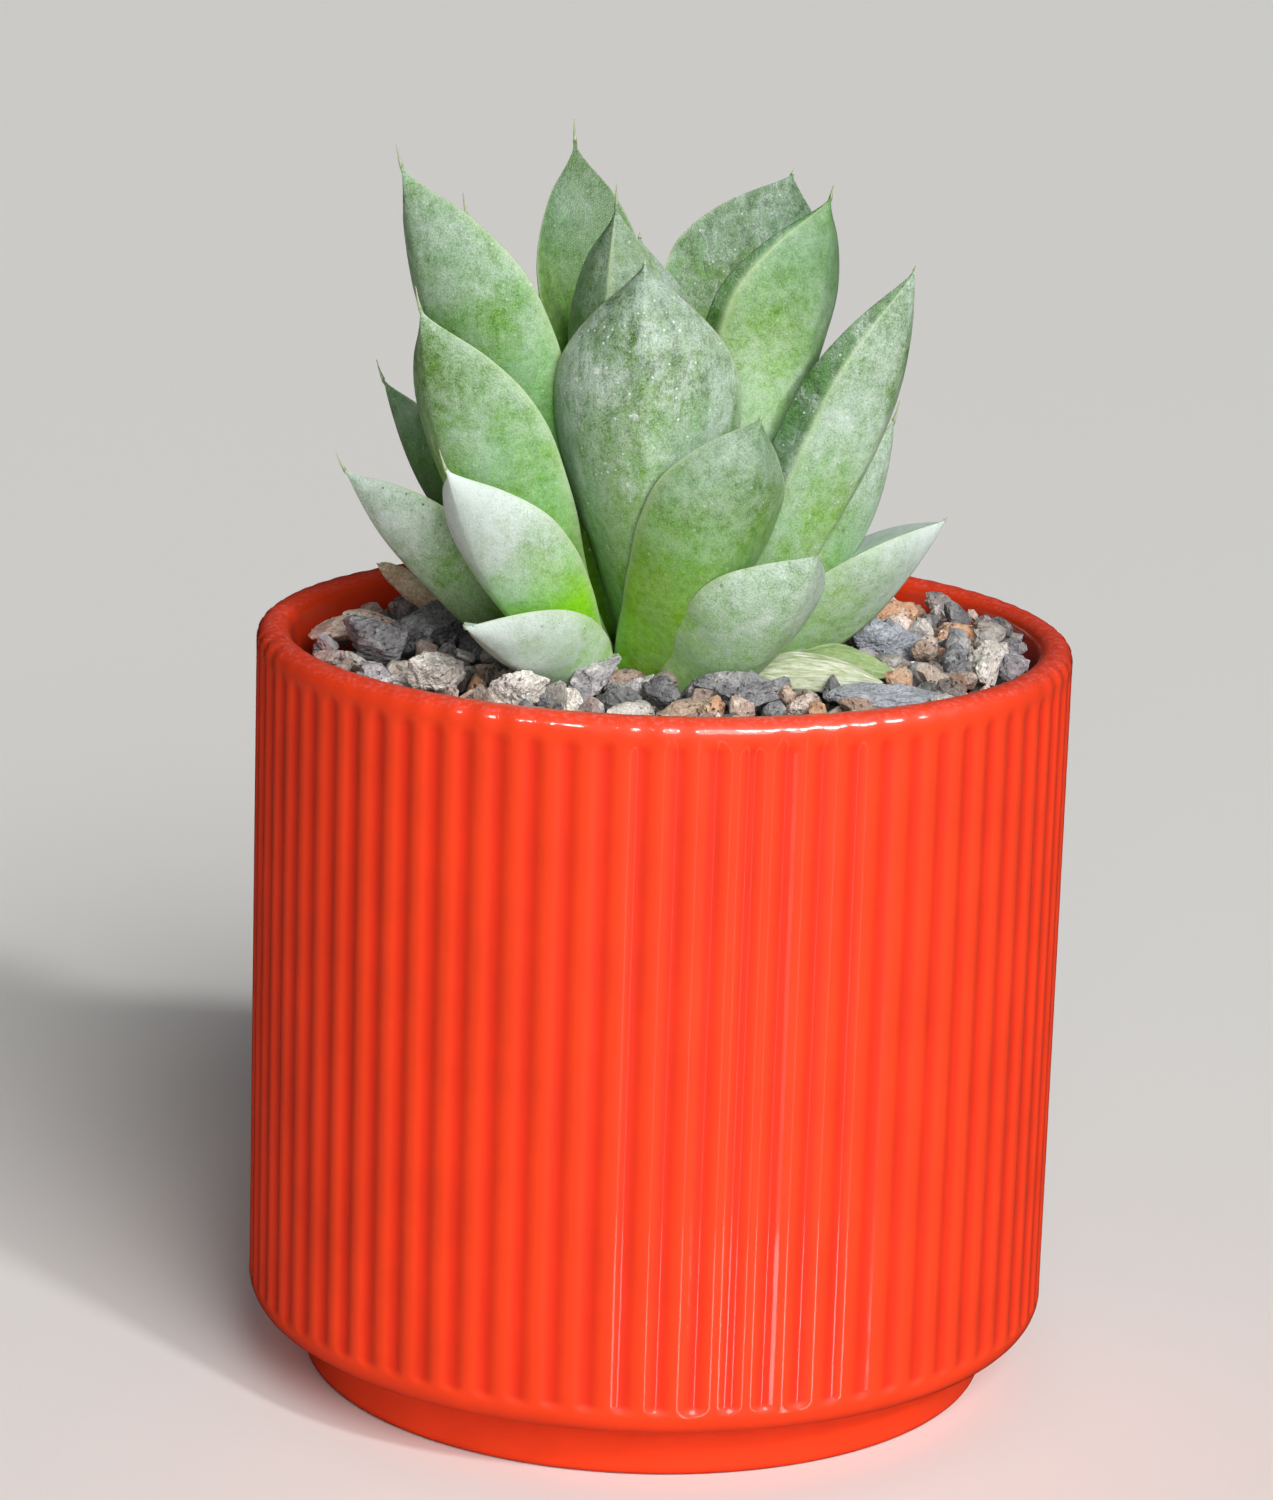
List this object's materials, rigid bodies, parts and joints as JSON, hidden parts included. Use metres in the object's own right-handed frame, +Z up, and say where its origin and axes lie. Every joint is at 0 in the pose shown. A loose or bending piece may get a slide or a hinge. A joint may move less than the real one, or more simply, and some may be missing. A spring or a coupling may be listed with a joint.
{
  "type": "potted haworthia cuspidata",
  "caption": "Rosette succulent with keeled, bristle-tipped, bloom-covered leaves in a ribbed glazed ceramic pot, top-dressed with coarse stone grit.",
  "frame": {"origin": "middle of the foot ring's underside, on the surface the pot stands on", "axes": "+Z up along the pot's axis; -Y towards the pictured side; +X to that side's right"},
  "size_m": [0.108, 0.108, 0.1662],
  "materials": {
    "glaze": "gloss",
    "potting_mix": "matte",
    "stem": "matte",
    "leaf": "satin",
    "withered_leaf": "matte",
    "gravel": "matte",
    "grey_stone": "matte",
    "dark_stone": "matte",
    "tan_stone": "matte",
    "orange_stone": "matte",
    "white_stone": "matte"
  },
  "bodies": {
    "root": {"gravel_bed": "gravel", "leaf_heart_back": "leaf", "leaf_heart_front": "leaf", "leaf_heart_right": "leaf", "leaf_high_front": "leaf", "leaf_high_left": "leaf", "leaf_high_right": "leaf", "leaf_low_back": "leaf", "leaf_low_back_left": "leaf", "leaf_low_back_right": "leaf", "leaf_low_front_left": "leaf", "leaf_low_front_right": "leaf", "leaf_low_left": "leaf", "leaf_low_right": "leaf", "leaf_mid_back": "leaf", "leaf_mid_back_left": "leaf", "leaf_mid_back_right": "leaf", "leaf_mid_front_left": "leaf", "leaf_mid_front_right": "leaf", "leaf_mid_left": "leaf", "leaf_mid_right": "leaf", "leaf_top_back": "leaf", "leaf_top_back_left": "leaf", "leaf_top_back_right": "leaf", "leaf_top_left": "leaf", "leaf_top_right": "leaf", "pot": "glaze", "potting_mix": "potting_mix", "stem": "stem", "stone_dark_behind": "dark_stone", "stone_dark_front": "dark_stone", "stone_dark_left": "dark_stone", "stone_grey_front": "grey_stone", "stone_long_slab": "grey_stone", "stone_orange_large": "orange_stone", "stone_orange_small": "orange_stone", "stone_slab_right": "grey_stone", "stone_tan_flat": "tan_stone", "stone_tan_splinter": "tan_stone", "stone_white_front": "white_stone", "stone_white_left": "white_stone", "stone_white_right": "white_stone", "withered_leaf_back": "withered_leaf", "withered_leaf_front": "withered_leaf"}
  },
  "joints": []
}
